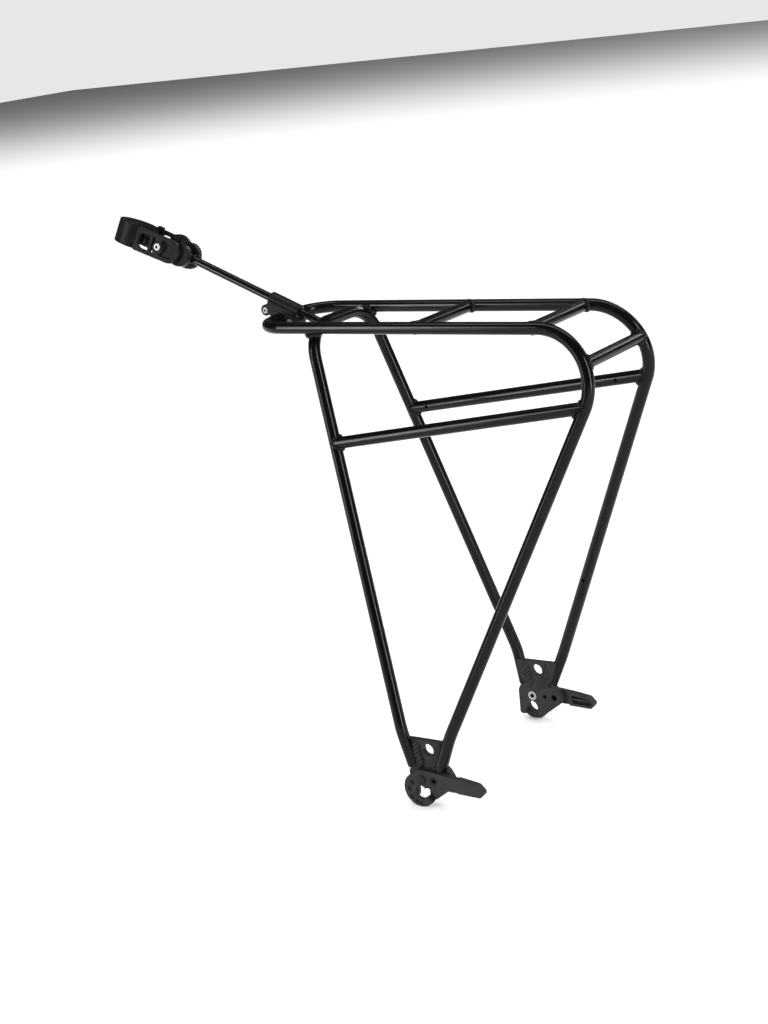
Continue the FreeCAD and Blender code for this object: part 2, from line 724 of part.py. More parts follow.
def strut_eye():
    """The flat eye at the front of the rod, which turns between the two clamp discs."""
    centre = Vector(-KNUCKLE_REACH, -EYE_HALF_T, 0)
    width = 2 * EYE_HALF_T
    neck_at = Vector(-KNUCKLE_REACH, 0, 0)
    neck = cylinder(neck_at, AXIS_X, NECK_R, NECK_REACH)
    neck = neck.common(Part.makeBox(NECK_REACH, width, 2 * NECK_R, centre - Vector(0, 0, NECK_R)))
    eye = cylinder(centre, AXIS_Y, EYE_R, width).fuse(neck).removeSplitter()
    eye = eye.cut(cylinder(centre, AXIS_Y, PIN_R + RUNNING_GAP, width))
    return twisted(strut_frame(eye))


# --- seatpost clamp --------------------------------------------------------------------------------
def clamp_frame(shape):
    """Places a shape drawn in the clamp's own frame so that its knuckle lies at the end of the strut."""
    turned = shape.copy()
    knuckle = Vector(KNUCKLE_X, 0, KNUCKLE_Z)
    turned.rotate(knuckle, AXIS_Y, CLAMP_TILT_DEG)
    turned.translate(strut_point(KNUCKLE_REACH).sub(knuckle))
    return twisted(turned)


def prism_z(outline, low, high):
    """A plate seen from above: an outline of (x, y) points, from z low to z high."""
    corners = [Vector(x, y, low) for x, y in outline + outline[:1]]
    return Part.Face(Part.makePolygon(corners)).extrude(Vector(0, 0, high - low))


def post_cylinder(radius):
    return cylinder(Vector(0, 0, -BAND_H), AXIS_Z, radius, 2 * BAND_H)


def band_ring(outer, inner, height):
    """A ring round the post that is open to the rear."""
    ends = []
    for share in (-1, -0.5, 0, 0.5, 1):
        turn = math.radians(share * BAND_END_DEG)
        ends.append((3 * outer * math.cos(turn), 3 * outer * math.sin(turn)))
    whole = ring(Vector(0, 0, -height / 2), AXIS_Z, outer, inner, height)
    return whole.cut(prism_z([(0, 0)] + ends, -height, height))


def band_strap():
    band = band_ring(BAND_R, POST_R + LINER_T, BAND_H)
    flat = [edge for edge in band.Edges if edge.BoundBox.ZLength < 1e-6]
    return band.makeFillet(BAND_EDGE_R, [edge for edge in flat if BAND_R + edge.BoundBox.XMin < 1e-3])


def band_liner():
    return band_ring(POST_R + LINER_T, POST_R, BAND_H - LINER_INSET)


def arm_inner_y(x):
    share = (x - ARM_FRONT_X) / (ARM_REAR_X - ARM_FRONT_X)
    return ARM_FRONT_Y + (ARM_REAR_Y - ARM_FRONT_Y) * share


def arm_slab(front_x):
    """The slanted bar, with a pad inside its front end that reaches in to the band."""
    half_h = ARM_H / 2
    plan = [
        (front_x, arm_inner_y(front_x)), (ARM_REAR_X, ARM_REAR_Y),
        (ARM_REAR_X, ARM_REAR_Y + ARM_T), (front_x, arm_inner_y(front_x) + ARM_T),
    ]
    side = [(front_x, -half_h), (ARM_REAR_X, -half_h), (ARM_REAR_X, half_h), (front_x, half_h)]
    radii = [ARM_CORNER_R, ARM_END_R, ARM_END_R, ARM_CORNER_R]
    slab = prism_z(plan, -half_h, half_h).common(prism_y(side, radii, 0, arm_inner_y(0) + ARM_T))
    pad_x = ARM_FRONT_X + PAD_LENGTH
    pad = Part.makeBox(pad_x - front_x, arm_inner_y(pad_x), ARM_H, Vector(front_x, 0, -half_h))
    return slab.fuse(pad.cut(post_cylinder(BAND_R))).cut(post_cylinder(BAND_R))


def window_prism(front_x, rear_x):
    half_h = WINDOW_H / 2
    outline = [(front_x, -half_h), (rear_x, -half_h), (rear_x, half_h), (front_x, half_h)]
    return prism_y(outline, [WINDOW_CORNER_R] * len(outline), 0, 2 * ARM_FRONT_Y)


def arm_window():
    """The window in front of the screw's boss, crossed by an upright bar."""
    span = 2 * ARM_FRONT_Y
    return window_prism(WINDOW_FRONT_X, WINDOW_REAR_X).cut([
        cylinder(Vector(SCREW_X, 0, 0), AXIS_Y, SCREW_BOSS_R, span),
        Part.makeBox(WINDOW_BAR, span, WINDOW_H, Vector(BAR_X, 0, -WINDOW_H / 2)),
        Part.makeBox(WINDOW_REAR_X, span, WINDOW_H, Vector(SCREW_X - WEB_HALF_W, 0, -WINDOW_H / 2)),
    ])


def arm_recess():
    """Behind the boss the window goes only part of the way through the arm."""
    floor = -RECESS_DEPTH + ARM_T
    far_x = ARM_REAR_X + ARM_T
    plan = [
        (0, arm_inner_y(0) + floor), (far_x, arm_inner_y(far_x) + floor),
        (far_x, 2 * ARM_FRONT_Y), (0, 2 * ARM_FRONT_Y),
    ]
    boss = cylinder(Vector(SCREW_X, 0, 0), AXIS_Y, SCREW_BOSS_R, 2 * ARM_FRONT_Y)
    recess = window_prism(SCREW_X, WINDOW_REAR_X).cut(boss)
    return recess.common(prism_z(plan, -ARM_H, ARM_H))


def clamp_arm(front_x):
    """A side frame of the clamp, drawn on the right-hand side."""
    span = 2 * ARM_FRONT_Y
    arm = arm_slab(front_x).cut([
        arm_window(),
        arm_recess(),
        cylinder(Vector(SCREW_X, 0, 0), AXIS_Y, SCREW_R, span),
        cylinder(Vector(SCREW_X, seat_y(), 0), AXIS_Y, SEAT_R, span),
    ])
    return largest(arm)


def right_arm():
    """This arm reaches further forward, carries a tab on top and houses the nut of the clamp screw."""
    tab_at = Vector(TAB_X, arm_inner_y(TAB_X + TAB_LENGTH), ARM_H / 2 - TAB_RISE)
    tab = Part.makeBox(TAB_LENGTH, ARM_T, 2 * TAB_RISE, tab_at).cut(post_cylinder(BAND_R))
    housing = cylinder(Vector(SCREW_X, nut_y(), 0), AXIS_Y, HOUSING_R, HOUSING_T)
    rim = [edge for edge in housing.Edges if nut_y() + HOUSING_T - edge.BoundBox.YMin < 1e-6]
    housing = housing.makeFillet(HOUSING_EDGE_R, rim)
    housing = housing.cut([
        cylinder(Vector(SCREW_X, 0, 0), AXIS_Y, SCREW_R, 2 * ARM_FRONT_Y),
        hexagon(Vector(SCREW_X, nut_y() + HOUSING_T - NUT_T, 0), CLAMP_NUT_AF, NUT_T),
    ])
    plain = clamp_arm(RIGHT_ARM_FRONT_X)
    return plain.fuse([tab, housing.cut(plain)]).removeSplitter()


def seat_y():
    """How far out the flat seat for the clamp screw's head lies on the slanted arm."""
    return arm_inner_y(SCREW_X + SEAT_R) + ARM_T - SEAT_DEPTH


def nut_y():
    """Where the inner face of the nut's housing lies, inside the slanted right-hand arm."""
    return arm_inner_y(SCREW_X + HOUSING_R) + ARM_T


def rear_saddle():
    """The pad that bears on the back of the post, and its web to the tube round the clamp screw."""
    front_x = POST_R * math.cos(math.radians(SADDLE_HUG_DEG))
    outlines = (
        (front_x, SADDLE_PAD_X, -SADDLE_H / 2, SADDLE_H / 2),
        (front_x, SADDLE_REAR_X, SADDLE_WEB_Z, SADDLE_WEB_Z + SADDLE_WEB_T),
    )
    half_w = arm_inner_y(SCREW_X + SADDLE_H / 2) - RUNNING_GAP
    block = cylinder(Vector(SCREW_X, -half_w, 0), AXIS_Y, SADDLE_H / 2, 2 * half_w)
    for low_x, high_x, low_z, high_z in outlines:
        plan = [
            (low_x, -SADDLE_HALF_W), (high_x, -SADDLE_HALF_W),
            (high_x, SADDLE_HALF_W), (low_x, SADDLE_HALF_W),
        ]
        block = block.fuse(prism_z(plan, low_z, high_z))
    return block.removeSplitter().cut([
        post_cylinder(POST_R),
        cylinder(Vector(SCREW_X, -half_w, 0), AXIS_Y, SCREW_R, 2 * half_w),
    ])


def inside_arms():
    """The room on the right-hand side of the strut, out to the slanted inner face of the arm."""
    far_x = KNUCKLE_X + 2 * DISC_R
    inner_y = EYE_HALF_T + DISC_GAP
    plan = [(0, inner_y), (far_x, inner_y), (far_x, arm_inner_y(far_x)), (0, arm_inner_y(0))]
    return prism_z(plan, -ARM_H, ARM_H)


def knuckle_disc(radius):
    """A round jaw between an arm and the eye of the strut."""
    disc = ring(Vector(KNUCKLE_X, 0, KNUCKLE_Z), AXIS_Y, radius, PIN_R, ARM_FRONT_Y)
    return disc.common(inside_arms())


def ribbed_disc():
    disc = knuckle_disc(DISC_R - DISC_RIB_R / 2)
    ribs = []
    for i in range(DISC_RIBS):
        turn = 2 * math.pi * i / DISC_RIBS
        out = Vector(math.cos(turn), 0, math.sin(turn)) * (DISC_R - DISC_RIB_R)
        rib = cylinder(Vector(KNUCKLE_X, 0, KNUCKLE_Z) + out, AXIS_Y, DISC_RIB_R, ARM_FRONT_Y)
        ribs.append(rib.common(inside_arms()))
    return disc.fuse(ribs).removeSplitter()


def clamp_screw():
    """The one screw of the clamp, with its head on the left arm's seat."""
    head_face = -seat_y() - SCREW_HEAD_T
    end = nut_y() + HOUSING_T
    return screw_y(SCREW_X, 0, head_face, end, SCREW_R, SCREW_HEAD_R, SCREW_HEAD_T, SCREW_SOCKET_AF)


def knuckle_pin():
    """The pin reaches from one arm's inner face to the other's."""
    half_w = arm_inner_y(KNUCKLE_X + PIN_R)
    return cylinder(Vector(KNUCKLE_X, -half_w, KNUCKLE_Z), AXIS_Y, PIN_R, 2 * half_w)


def clamp_parts():
    nut_at = nut_y() + HOUSING_T - NUT_T
    parts = {
        "band_strap": band_strap(),
        "band_liner": band_liner(),
        "arm_right": right_arm(),
        "arm_left": mirrored(clamp_arm(ARM_FRONT_X)),
        "rear_saddle": rear_saddle(),
        "knuckle_disc_right": ribbed_disc(),
        "knuckle_disc_left": mirrored(knuckle_disc(SMOOTH_DISC_R)),
        "knuckle_pin": knuckle_pin(),
        "clamp_screw": clamp_screw(),
        "clamp_nut": hex_nut(SCREW_X, 0, nut_at, SCREW_R, CLAMP_NUT_AF),
    }
    return {name: clamp_frame(shape) for name, shape in parts.items()}


# --- the whole rack -----------------------------------------------------------------------------
def latch_parts():
    parts = {}
    makers = {
        "dropout_plate": dropout_plate,
        "lock_lever": lock_lever,
        "lever_rivet": lever_rivet,
        "lever_washer": lever_washer,
        "detent_screw": detent_screw,
    }
    for name, make in makers.items():
        shape = make()
        for side in ("left", "right"):
            parts[name + "_" + side] = to_side(shape, side)
    return parts


def build():
    parts = latch_parts()
    parts.update(frame_tubes(parts["dropout_plate_right"]))
    holder = strut_holder()
    parts["strut_holder"] = strut_frame(holder)
    parts["holder_strap"] = strut_frame(holder_strap(holder))
    parts.update(holder_bolts())
    parts["sleeve_bush"] = sleeve_bush()
    parts["strut_rod"] = strut_rod()
    parts["strut_eye"] = strut_eye()
    parts.update(clamp_parts())
    return parts


os.makedirs("parts", exist_ok=True)
for node, shape in build().items():
    state = "valid" if shape.isValid() else "INVALID"
    print(node, len(shape.Solids), "solid(s)", round(shape.Volume), "mm3", state)
    shape.exportStep("parts/" + node + ".step")
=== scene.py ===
import json
import math

import bpy
from mathutils import Matrix, Vector


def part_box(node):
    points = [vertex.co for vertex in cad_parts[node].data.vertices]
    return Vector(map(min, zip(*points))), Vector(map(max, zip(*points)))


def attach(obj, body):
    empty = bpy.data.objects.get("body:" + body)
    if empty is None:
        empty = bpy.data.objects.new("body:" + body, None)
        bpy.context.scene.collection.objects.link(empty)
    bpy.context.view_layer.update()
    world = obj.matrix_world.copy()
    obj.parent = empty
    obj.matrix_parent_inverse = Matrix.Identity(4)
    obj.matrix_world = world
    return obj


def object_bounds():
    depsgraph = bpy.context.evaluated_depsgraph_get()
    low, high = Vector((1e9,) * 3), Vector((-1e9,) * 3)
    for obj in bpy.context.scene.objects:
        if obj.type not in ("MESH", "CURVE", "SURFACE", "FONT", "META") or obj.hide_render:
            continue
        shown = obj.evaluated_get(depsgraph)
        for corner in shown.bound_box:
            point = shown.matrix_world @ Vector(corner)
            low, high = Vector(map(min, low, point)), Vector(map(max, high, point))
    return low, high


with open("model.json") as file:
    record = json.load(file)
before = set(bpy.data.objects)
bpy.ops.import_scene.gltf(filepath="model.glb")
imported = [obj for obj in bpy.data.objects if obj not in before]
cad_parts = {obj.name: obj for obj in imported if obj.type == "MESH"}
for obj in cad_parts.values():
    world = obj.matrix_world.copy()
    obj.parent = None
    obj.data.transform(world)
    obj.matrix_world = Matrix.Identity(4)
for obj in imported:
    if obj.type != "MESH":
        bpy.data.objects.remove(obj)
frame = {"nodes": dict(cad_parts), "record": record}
CAD_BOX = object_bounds()

# Metres, in the row frame: +X to the rear of the bicycle, +Y to its right, +Z up.
TUBE_R = 0.005
CROSS_R = 0.0048
CROWN_BEND_R = 0.030
REAR_BEND_R = 0.0425
KINK_BEND_R = 0.060
NOSE_BEND_R = 0.026
KINK_Y = 0.093
KINK_Z = 0.051
FRONT_KINK_X = -0.0128
REAR_KINK_X = 0.0333
FOOT_Y = 0.0905
FRONT_FOOT = (-0.0070, 0.0214)
REAR_FOOT = (0.0198, 0.0214)
CROWN_X = -0.0907
REAR_CORNER_X = 0.1897
SIDE_RAIL_FRONT_DROP = 0.092
SIDE_RAIL_REAR_DROP = 0.0575

# How finely curves are followed.
BEND_STEPS = 14
SEAM_POINTS = 72
SEAM_TRIES = 14
SEAM_PROBE = 1e-5
SEAM_MAX_MOVE = 0.001
SEAM_PARALLEL = 1e-3
NOT_ZERO = 1e-12

# Weld beads: on the tubes' seams, and along the feet on each plate.
TUBE_BEAD_R = 0.0029
CROWN_BEAD_R = 0.0040
TUBE_BEAD_PITCH = 0.0022
PLATE_BEAD_R = 0.0052
PLATE_BEAD_SHIFT = {"front": 0.0072, "rear": 0.0056}
PLATE_BEAD_PITCH = 0.0032
PLATE_BEAD_POINTS = 12
PLATE_BEAD_FLATNESS = 0.7
PLATE_BEAD_SINK = 0.0004
PLATE_BEAD_TILT = 0.25
CROWN_SEAM_GAP = 0.0009
RIPPLE_STEPS = 8
RIPPLE_VALLEY = 0.58
BEAD_SIDES = 12
BEAD_SINK = 0.1
BEAD_TIP = 0.05
SQUARE_CORNER = math.sqrt(2)

# Surfaces.
PATCH_SCALE = 55.0
PATCH_DETAIL = 3.0
PATCH_RAMP = (0.35, 0.68)
GRAIN_DETAIL = 2.0
NOISE_ROUGHNESS = 0.55
GRAIN_DEPTH = 0.0002
COAT_IOR = 1.35
RIVET_HEAD_FROM = 0.002
JOIN_WITHIN = 1e-6
BEVEL_FROM = math.radians(35)
BEVEL_STEPS = 2
SPLIT_FROM = math.radians(40)

# The camera's place round the front cross tube.
CAMERA_AZIMUTH = math.radians(36.49)
CAMERA_ELEVATION = math.radians(16.12)
CAMERA_ROLL = math.radians(-7.48)
CAMERA_DISTANCE = 1.451
CAMERA_PAN = (-0.0469, -0.1552)
CAMERA_LENS = 64.27

# The stage. Each strip lamp has its place, its size and its power.
FLOOR_HALF = 12.0
WORLD_STRENGTH = 0.10
STRIP_LAMPS = {
    "overhead": ((-0.2, 0.4, 3.0), (3.4, 0.25), 45),
    "left": ((-2.0, -2.6, 0.9), (0.30, 2.4), 65),
    "right": ((2.8, -0.6, 1.0), (0.30, 2.4), 85),
    "back": ((0.4, 3.0, 1.6), (2.4, 0.3), 22),
}

# A ring of lamps makes the floor white, except near its far edges. The object doesn't reflect them.
WASH_COUNT = 8
WASH_RING_R = 6.5
WASH_POWER = 170
WASH_HEIGHT = 4.0
WASH_SIZE = (4.0, 4.0)


# --- curves ----------------------------------------------------------------------------------------
def rounded_path(points, radii):
    """Points along straight runs joined by tangent arcs."""
    path = [points[0]]
    for before, corner, after, radius in zip(points, points[1:], points[2:], radii[1:-1]):
        back = (before - corner).normalized()
        ahead = (after - corner).normalized()
        half = back.angle(ahead) / 2
        middle_dir = (back + ahead).normalized()
        centre = corner + middle_dir * (radius / math.sin(half))
        start = corner + back * (radius / math.tan(half))
        end = corner + ahead * (radius / math.tan(half))
        a = start - centre
        b = end - centre
        swing = a.angle(b)
        for i in range(BEND_STEPS + 1):
            t = i / BEND_STEPS
            spoke = a * math.sin((1 - t) * swing) + b * math.sin(t * swing)
            path.append(centre + spoke / math.sin(swing))
    path.append(points[-1])
    return path


def nearest(path, point):
    """The point of a path that lies closest to a point."""
    best = path[0]
    best_gap = (point - best).length
    for a, b in zip(path, path[1:]):
        run = b - a
        share = (point - a).dot(run) / max(run.length_squared, NOT_ZERO)
        spot = a + run * min(1.0, max(0.0, share))
        gap = (point - spot).length
        if gap < best_gap:
            best = spot
            best_gap = gap
    return best


def at_height(path, z):
    """The first point of a path at a height."""
    for a, b in zip(path, path[1:]):
        if min(a.z, b.z) <= z <= max(a.z, b.z) and a.z != b.z:
            return a.lerp(b, (z - a.z) / (b.z - a.z))
    return path[-1]


def mirror(points):
    return [Vector((p.x, -p.y, p.z)) for p in points]


def frame_paths():
    """The centrelines of the frame's tubes, the side ones for the right-hand side."""
    low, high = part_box("deck_hoop")
    deck_z = (low.z + high.z) / 2
    rail_y = high.y - TUBE_R
    nose_x = low.x + TUBE_R
    front_x = sum(c.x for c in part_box("cross_tube_front")) / 2
    middle_x = sum(c.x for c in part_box("cross_tube_middle")) / 2
    rear_low, rear_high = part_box("cross_tube_rear")
    rear_mid = (rear_low + rear_high) / 2
    corner = Vector((REAR_CORNER_X, rail_y, deck_z))
    rear_kink = Vector((REAR_KINK_X, KINK_Y, KINK_Z))
    rear_foot = Vector((REAR_FOOT[0], FOOT_Y, REAR_FOOT[1]))
    rail = rounded_path(
        [Vector((nose_x, 0, deck_z)), Vector((nose_x, rail_y, deck_z)), corner, rear_kink, rear_foot],
        [0, NOSE_BEND_R, REAR_BEND_R, KINK_BEND_R, 0],
    )
    crown = Vector((CROWN_X, rail_y, deck_z))
    front_kink = Vector((FRONT_KINK_X, KINK_Y, KINK_Z))
    front_foot = Vector((FRONT_FOOT[0], FOOT_Y, FRONT_FOOT[1]))
    hoop = rounded_path(
        [Vector((CROWN_X, 0, deck_z)), crown, front_kink, front_foot],
        [0, CROWN_BEND_R, KINK_BEND_R, 0],
    )
    side_front = at_height(hoop, deck_z - SIDE_RAIL_FRONT_DROP)
    side_rear = at_height(rail, deck_z - SIDE_RAIL_REAR_DROP)
    return {
        "rail": rail,
        "hoop": hoop,
        "side": [side_front, side_rear],
        "front": [Vector((front_x, -rail_y, deck_z)), Vector((front_x, rail_y, deck_z))],
        "middle": [Vector((middle_x, -rail_y, deck_z)), Vector((middle_x, rail_y, deck_z))],
        "rear": [rear_mid - Vector((0, rear_high.y, 0)), rear_mid + Vector((0, rear_high.y, 0))],
    }


# --- meshes ----------------------------------------------------------------------------------------
def new_piece(name, vertices, faces, body, material):
    mesh = bpy.data.meshes.new(name)
    mesh.from_pydata([tuple(v) for v in vertices], [], faces)
    mesh.validate()
    for polygon in mesh.polygons:
        polygon.use_smooth = True
    piece = bpy.data.objects.new(name, mesh)
    bpy.context.scene.collection.objects.link(piece)
    piece.data.materials.append(material)
    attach(piece, body)
    return piece


def resampled(points, count, closed):
    """The same curve as count points that are evenly spaced."""
    line = points + points[:1] if closed else points
    lengths = [0.0]
    for a, b in zip(line, line[1:]):
        lengths.append(lengths[-1] + (b - a).length)
    total = lengths[-1]
    result = []
    steps = count if closed else count - 1
    at = 0
    for i in range(count):
        want = total * i / steps
        while at < len(lengths) - 2 and lengths[at + 1] < want:
            at += 1
        span = max(lengths[at + 1] - lengths[at], NOT_ZERO)
        result.append(line[at].lerp(line[at + 1], (want - lengths[at]) / span))
    return result, total


def weld_bead(points, normals_at, radius, pitch, lean, closed, flatness=1.0):
    """A bead of overlapping drops along a curve, as vertices and faces. A flat one is wider than it is high.

    normals_at gives the sum of both surfaces' normals. Where they agree, there is no corner to fill, and the
    bead sinks in.
    """
    _, total = resampled(points, RIPPLE_STEPS, closed)
    ripples = max(4, round(total / pitch))
    count = ripples * RIPPLE_STEPS + (0 if closed else 1)
    line, _ = resampled(points, count, closed)
    vertices = []
    faces = []
    for i, centre in enumerate(line):
        after = line[(i + 1) % count] if closed else line[min(i + 1, count - 1)]
        before = line[i - 1] if closed or i else line[0]
        along = (after - before).normalized()
        both = normals_at(centre)
        sink = radius * (BEAD_SINK + max(0.0, both.length - SQUARE_CORNER))
        outward = (both - along * both.dot(along)).normalized()
        across = along.cross(outward)
        phase = (i % RIPPLE_STEPS) / RIPPLE_STEPS
        swell = RIPPLE_VALLEY + (1 - RIPPLE_VALLEY) * math.sin(math.pi * phase) ** 0.5
        end_taper = 1.0
        if not closed:
            edge = min(i, count - 1 - i) / RIPPLE_STEPS
            end_taper = math.sqrt(min(1.0, BEAD_TIP + edge))
        for side in range(BEAD_SIDES):
            turn = 2 * math.pi * side / BEAD_SIDES
            spot = outward * (math.cos(turn) * flatness) + across * math.sin(turn)
            push = along * (lean * (1 - abs(math.sin(turn)))) - outward * sink
            vertices.append(centre + spot * (radius * swell * end_taper) + push)
    rows = count if closed else count - 1
    for i in range(rows):
        j = (i + 1) % count
        for side in range(BEAD_SIDES):
            k = (side + 1) % BEAD_SIDES
            a = i * BEAD_SIDES
            b = j * BEAD_SIDES
            faces.append((a + side, a + k, b + k, b + side))
    if not closed:
        faces.append(tuple(range(BEAD_SIDES))[::-1])
        faces.append(tuple(range((count - 1) * BEAD_SIDES, count * BEAD_SIDES)))
    return vertices, faces


def seam(path_a, radius_a, path_b, radius_b, start, axis):
    """The closed curve where two tubes meet. It is found round an axis from the first tube to the second."""
    def gaps(out, reach, rise):
        spot = start + out * reach + axis * rise
        gap_a = (spot - nearest(path_a, spot)).length - radius_a
        gap_b = (spot - nearest(path_b, spot)).length - radius_b
        return gap_a, gap_b

    side = axis.orthogonal().normalized()
    other = axis.cross(side)
    curve = []
    for i in range(SEAM_POINTS):
        turn = 2 * math.pi * i / SEAM_POINTS
        out = side * math.cos(turn) + other * math.sin(turn)
        reach = min(radius_a, radius_b)
        rise = 0.0
        for _ in range(SEAM_TRIES):
            a0, b0 = gaps(out, reach, rise)
            a1, b1 = gaps(out, reach + SEAM_PROBE, rise)
            a2, b2 = gaps(out, reach, rise + SEAM_PROBE)
            slopes = Matrix((
                ((a1 - a0) / SEAM_PROBE, (a2 - a0) / SEAM_PROBE),
                ((b1 - b0) / SEAM_PROBE, (b2 - b0) / SEAM_PROBE),
            ))
            if abs(slopes.determinant()) < SEAM_PARALLEL:
                break
            move = slopes.inverted() @ Vector((a0, b0))
            reach -= max(-SEAM_MAX_MOVE, min(SEAM_MAX_MOVE, move.x))
            rise -= max(-SEAM_MAX_MOVE, min(SEAM_MAX_MOVE, move.y))
        curve.append(start + out * reach + axis * rise)
    return curve


def outward_from(path_a, path_b):
    """A bead faces away from both tubes."""
    def normals_at(point):
        a = (point - nearest(path_a, point)).normalized()
        b = (point - nearest(path_b, point)).normalized()
        return a + b
    return normals_at


def add_seam(name, path_a, radius_a, path_b, radius_b, start, axis, bead_r, material):
    curve = seam(path_a, radius_a, path_b, radius_b, start, axis.normalized())
    normals_at = outward_from(path_a, path_b)
    vertices, faces = weld_bead(curve, normals_at, bead_r, TUBE_BEAD_PITCH, TUBE_BEAD_PITCH / 2, True)
    return new_piece(name, vertices, faces, "frame", material)


# --- materials ---------------------------------------------------------------------------------------
def node_material(name, build):
    material = bpy.data.materials.new(name)
    material.use_nodes = True
    tree = material.node_tree
    tree.nodes.clear()
    output = tree.nodes.new("ShaderNodeOutputMaterial")
    shader = tree.nodes.new("ShaderNodeBsdfPrincipled")
    tree.links.new(shader.outputs[0], output.inputs[0])
    build(tree, shader)
    return material


def noise_node(tree, scale, detail):
    place = tree.nodes.new("ShaderNodeTexCoord")
    texture = tree.nodes.new("ShaderNodeTexNoise")
    texture.inputs["Scale"].default_value = scale
    texture.inputs["Detail"].default_value = detail
    texture.inputs["Roughness"].default_value = NOISE_ROUGHNESS
    tree.links.new(place.outputs["Object"], texture.inputs["Vector"])
    return texture


def ranged(tree, source, low, high):
    """Maps a 0 to 1 value on to low to high."""
    mapping = tree.nodes.new("ShaderNodeMapRange")
    mapping.inputs["To Min"].default_value = low
    mapping.inputs["To Max"].default_value = high
    tree.links.new(source, mapping.inputs["Value"])
    return mapping.outputs[0]


def tinted(tree, source, dark, light):
    ramp = tree.nodes.new("ShaderNodeValToRGB")
    first, last = ramp.color_ramp.elements
    first.position, last.position = PATCH_RAMP
    first.color = (*dark, 1)
    last.color = (*light, 1)
    tree.links.new(source, ramp.inputs[0])
    return ramp.outputs[0]


def coat(name, dark, light, rough, grain_scale, grain, shine=0.5, metallic=0.0):
    """A coated or moulded surface: a slightly uneven colour and gloss, with a fine grain."""
    def build(tree, shader):
        patches = noise_node(tree, PATCH_SCALE, PATCH_DETAIL)
        colour = tinted(tree, patches.outputs["Fac"], (dark,) * 3, (light, light, light * 1.04))
        tree.links.new(colour, shader.inputs["Base Color"])
        tree.links.new(ranged(tree, patches.outputs["Fac"], rough[0], rough[1]), shader.inputs["Roughness"])
        grains = noise_node(tree, grain_scale, GRAIN_DETAIL)
        bump = tree.nodes.new("ShaderNodeBump")
        bump.inputs["Strength"].default_value = grain
        bump.inputs["Distance"].default_value = GRAIN_DEPTH
        tree.links.new(grains.outputs["Fac"], bump.inputs["Height"])
        tree.links.new(bump.outputs[0], shader.inputs["Normal"])
        shader.inputs["IOR"].default_value = COAT_IOR
        shader.inputs["Specular IOR Level"].default_value = shine
        shader.inputs["Metallic"].default_value = metallic
    return node_material(name, build)


# One surface for each of the record's material slots.
MATERIALS = {
    "tube": coat("black_powder_coat", 0.0015, 0.003, (0.16, 0.22), 2600, 0.03, shine=0.28),
    "plate": coat("matt_black_plate", 0.016, 0.021, (0.45, 0.55), 2400, 0.20, shine=0.30),
    "lever": coat("matt_black_lever", 0.016, 0.021, (0.45, 0.55), 2200, 0.22, shine=0.30),
    "steel": coat("bright_steel", 0.24, 0.34, (0.34, 0.44), 900, 0.05, metallic=1.0),
    "black_steel": coat("black_oxide", 0.006, 0.010, (0.28, 0.40), 1500, 0.08, shine=0.3),
    "washer": coat("black_washer", 0.006, 0.010, (0.45, 0.60), 1500, 0.10, shine=0.2),
    "rod": coat("gloss_black_rod", 0.0015, 0.003, (0.12, 0.18), 1800, 0.02, shine=0.25),
    "moulding": coat("grained_nylon", 0.004, 0.009, (0.34, 0.46), 1700, 0.40, shine=0.18),
    "bush": coat("smooth_nylon", 0.006, 0.010, (0.30, 0.40), 1500, 0.10, shine=0.3),
    "liner": coat("matt_rubber", 0.008, 0.012, (0.60, 0.75), 1300, 0.30, shine=0.2),
}


ROUNDED_EDGES = {
    "plate": 0.0005,
    "lever": 0.0006,
    "moulding": 0.0004,
    "steel": 0.0002,
    "black_steel": 0.0002,
}


def round_edges(node, width):
    """Joins the mesh along its edges, then gives those a small rounding and even shading."""
    if "custom_normal" in node.data.attributes:
        node.data.attributes.remove(node.data.attributes["custom_normal"])
    join = node.modifiers.new("join", "WELD")
    join.merge_threshold = JOIN_WITHIN
    edge = node.modifiers.new("edge", "BEVEL")
    edge.width = width
    edge.segments = BEVEL_STEPS
    edge.limit_method = "ANGLE"
    edge.angle_limit = BEVEL_FROM
    split = node.modifiers.new("split", "EDGE_SPLIT")
    split.split_angle = SPLIT_FROM
    node.modifiers.new("even", "WEIGHTED_NORMAL")


def finish_nodes():
    """Gives each CAD node its slot's material. The rivets' outer heads are black."""
    for part in frame["record"]["subparts"]:
        node = frame["nodes"][part["node"]]
        slot_name = part["material_slot"]
        node.data.materials.clear()
        node.data.materials.append(MATERIALS[slot_name])
        for polygon in node.data.polygons:
            polygon.use_smooth = True
        if slot_name in ROUNDED_EDGES:
            round_edges(node, ROUNDED_EDGES[slot_name])
    plate_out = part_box("dropout_plate_right")[1].y
    for side in ("left", "right"):
        rivet = frame["nodes"]["lever_rivet_" + side]
        rivet.data.materials.append(MATERIALS["black_steel"])
        for polygon in rivet.data.polygons:
            if abs(polygon.center.y) > plate_out + RIVET_HEAD_FROM:
                polygon.material_index = 1


finish_nodes()


# --- welds ---------------------------------------------------------------------------------------------
PATHS = frame_paths()


def both_sides(name, path_a, radius_a, path_b, radius_b, start, axis, bead_r):
    add_seam(name + "_right", path_a, radius_a, path_b, radius_b, start, axis, bead_r, MATERIALS["tube"])
    add_seam(
        name + "_left", mirror(path_a), radius_a, mirror(path_b), radius_b,
        mirror([start])[0], mirror([axis])[0], bead_r, MATERIALS["tube"],
    )


def crown_weld(rail, hoop):
    """The front hoop passes under the rail, and a bead fills the corner round the place where they touch."""
    arc = hoop[1:BEND_STEPS + 2]
    low = min(arc, key=lambda p: (p - nearest(rail, p)).length)
    up = nearest(rail, low) - low
    reach = up.length / 2 + CROWN_SEAM_GAP
    both_sides("weld_crown", hoop, reach, rail, reach, low + up / 2, up, CROWN_BEAD_R)


